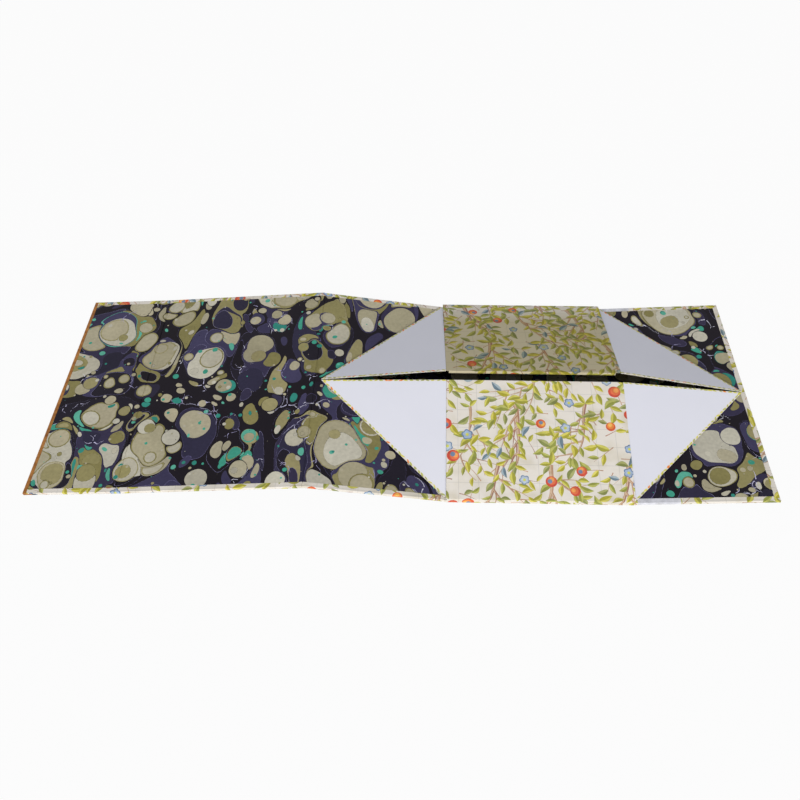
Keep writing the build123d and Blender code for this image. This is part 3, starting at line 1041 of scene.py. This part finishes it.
# Corner gussets. Each is a triangle of card that swings on a slanted fold of its wall. White paper covers its
# upper face, narrow edgings of the printed paper show along its two long edges, and its back is marbled.
white_look, tree, shader, tint = paper_look("white_paper", 0.6, 0.05)
inks = add_node(tree, "Attribute", attribute_name="ink").outputs["Color"]
set_inputs(tree, shader, {"Base Color": multiplied(tree, inks, tint)})
bare_white = ink(226, 226, 234)
gusset_rise = radians(180 - travel("near_back_gusset_fold"))
facing_floor, card_half = 0.0003, 0.0003
fold_shift, fold_line, foot, tip_across = 0.0005, 0.0004, 0.0027, 0.1015
facing_leg, lining_leg = 0.00085, 0.001
edging, edging_shift, first_leaf, leaf_gap = 0.0017, 0.0008, 0.002, 0.0042
half_leaf_lengths, half_leaf_widths = (0.0014, 0.0022), (0.0005, 0.0008)
marbling_from, marbling_step = 0.33, 0.05


def on_gusset(out, across):
    """A point of the flat gusset, by its distance along the slanted fold and its distance from it."""
    return np.array((out - fold_shift + across, across - out + fold_shift)) / 2**0.5


def gusset_corners(leg):
    return [
        on_gusset(leg, foot),
        on_gusset(foot + fold_shift - fold_line * 2**0.5, foot),
        on_gusset(tip_across + fold_shift - fold_line * 2**0.5, tip_across),
        on_gusset(leg, side_reach),
    ]


for outward, wall in ((-1, "back_wall"), (1, "front_wall")):
    for side, side_name in ((-1, "near"), (1, "far")):
        body = f"{side_name}_{wall.split('_')[0]}_gusset"
        turn = row_frame(wall).to_3x3()
        wall_out, wall_up = turn @ Vector((outward, 0, 0)), turn @ Vector((0, 0, 1))
        inward = Vector((0, -side, 0))
        along, from_fold = (wall_out + inward).normalized(), (inward - wall_out).normalized()
        normal = wall_up * cos(gusset_rise) - from_fold * sin(gusset_rise)
        place = Matrix((along, normal.cross(along), normal)).transposed().to_4x4()
        place = Matrix.Translation(joints[f"{body}_fold"]["pos_m"]) @ place
        hand = -side * outward

        # The white paper leaves the two long edges bare, and small leaves of the print show on them.
        start, fold_start, tip, free = corners = gusset_corners(facing_leg)
        rng = np.random.default_rng(31 + 2 * outward + side)
        marks = []
        lean = (free - tip) / np.linalg.norm(free - tip)
        inset = np.array((lean[1], -lean[0])) * edging * 0.7
        inset = inset if inset @ (start - tip) > 0 else -inset
        leg_line = (free - start) / np.linalg.norm(free - start)
        low_line = fold_line + edging
        white_patch = np.array(
            (
                start + leg_line * (low_line - start[1]) / leg_line[1],
                tip + inset + lean * (low_line - tip[1] - inset[1]) / lean[1],
                free + inset + lean * ((start - free - inset) @ (1, 1)) / (lean @ (1, 1)),
            )
        )
        for low, high, nudge in ((fold_start, tip, (0, edging_shift)), (free, tip, inset * 0.5)):
            run = high - low
            length = np.linalg.norm(run)
            angle = np.arctan2(run[1], run[0])
            for step in np.arange(first_leaf, length, leaf_gap):
                middle = low + run * (step + rng.normal(0, 0.0005)) / length
                long, thick = rng.uniform(*half_leaf_lengths), rng.uniform(*half_leaf_widths)
                t = np.linspace(0, 2 * pi, 8, endpoint=False)
                lens = np.column_stack((long * np.cos(t), thick * np.sin(t)))
                tilt = angle + rng.uniform(-0.5, 0.5)
                spin = np.array(((cos(tilt), sin(tilt)), (-sin(tilt), cos(tilt))))
                tone = leaf_tones[rng.integers(4)][1] if rng.random() < 0.9 else fruit_tones[0][1]
                marks.append((lens @ spin + middle + nudge, tone))
        marks.append((white_patch, bare_white))
        laid = inlay(np.array(corners) * (1, hand), laid_over(marks, (1, 0), (0, hand)), cream)
        mesh = sheet_mesh(f"{body}_white_facing", laid, facing_floor)
        mesh.transform(place)
        finish_piece(mesh, white_look, "white_paper", body, f"{body}_facing")

        backed = laid_over(marbling, (1, 0), (0, 1), (marbling_from + marbling_step * outward, 0))
        outline = np.array(gusset_corners(lining_leg)) * (1, hand)
        paste_lining(f"{body}_marbled_back", body, outline, backed, -card_half - paper_thick, place, True)


# The boards under the covers are greyboard, pressed from waste paper, with flecks in it. The gussets' card is
# a paler board of the same kind.
def flecked(tree, scale, detail, low, high):
    """A colour that varies in flecks or streaks. Low and high are each a place on the ramp and its colour."""
    place = add_node(tree, "TexCoord").outputs["Object"]
    ramp = add_node(tree, "ValToRGB", {"Fac": noise(tree, place, scale, detail)})
    for stop, (position, colour) in zip(ramp.color_ramp.elements, (low, high)):
        stop.position, stop.color = position, (*colour, 1)
    return ramp.outputs["Color"]


def flecked_paper(name, roughness, tint_depth, *flecks):
    look, tree, shader, tint = paper_look(name, roughness, tint_depth)
    set_inputs(tree, shader, {"Base Color": multiplied(tree, flecked(tree, *flecks), tint)})
    return look


def dress(node, look):
    """Gives a solid of the frame its finish."""
    piece = frame["nodes"][node]
    piece.data.materials.clear()
    piece.data.materials.append(look)


grey, grey_fleck = ink(156, 150, 140), ink(112, 106, 98)
card, card_fleck = ink(200, 196, 188), ink(166, 160, 150)
board_looks = {
    "_board": flecked_paper("greyboard", 0.85, 0.3, 900, 4, (0.36, grey_fleck), (0.5, grey)),
    "_card": flecked_paper("gusset_card", 0.85, 0.3, 900, 4, (0.36, card_fleck), (0.5, card)),
}
for node in frame["nodes"]:
    for ending, look in board_looks.items():
        if node.endswith(ending):
            dress(node, look)

# The flap's free end is bound with a strip of orange-brown kraft paper, folded over the edge and pasted
# down.
brown, brown_streak = ink(186, 128, 66), ink(138, 84, 36)
brown_look = flecked_paper("brown_paper", 0.5, 0.35, 260, 5, (0.3, brown_streak), (0.68, brown))
dress("flap_end_strip", brown_look)

# Two pairs of nickel-plated disc magnets hold the flap to the front wall. They are sunk in the boards, out of
# sight.
nickel, nickel_worn = (0.72, 0.71, 0.68), (0.5, 0.49, 0.46)
magnet_look, tree, shader = new_look("magnet", {"Metallic": 1, "Roughness": 0.3})
set_inputs(tree, shader, {"Base Color": flecked(tree, 700, 2, (0, nickel_worn), (1, nickel))})
for node in ("flap_magnets", "front_wall_magnets"):
    dress(node, magnet_look)
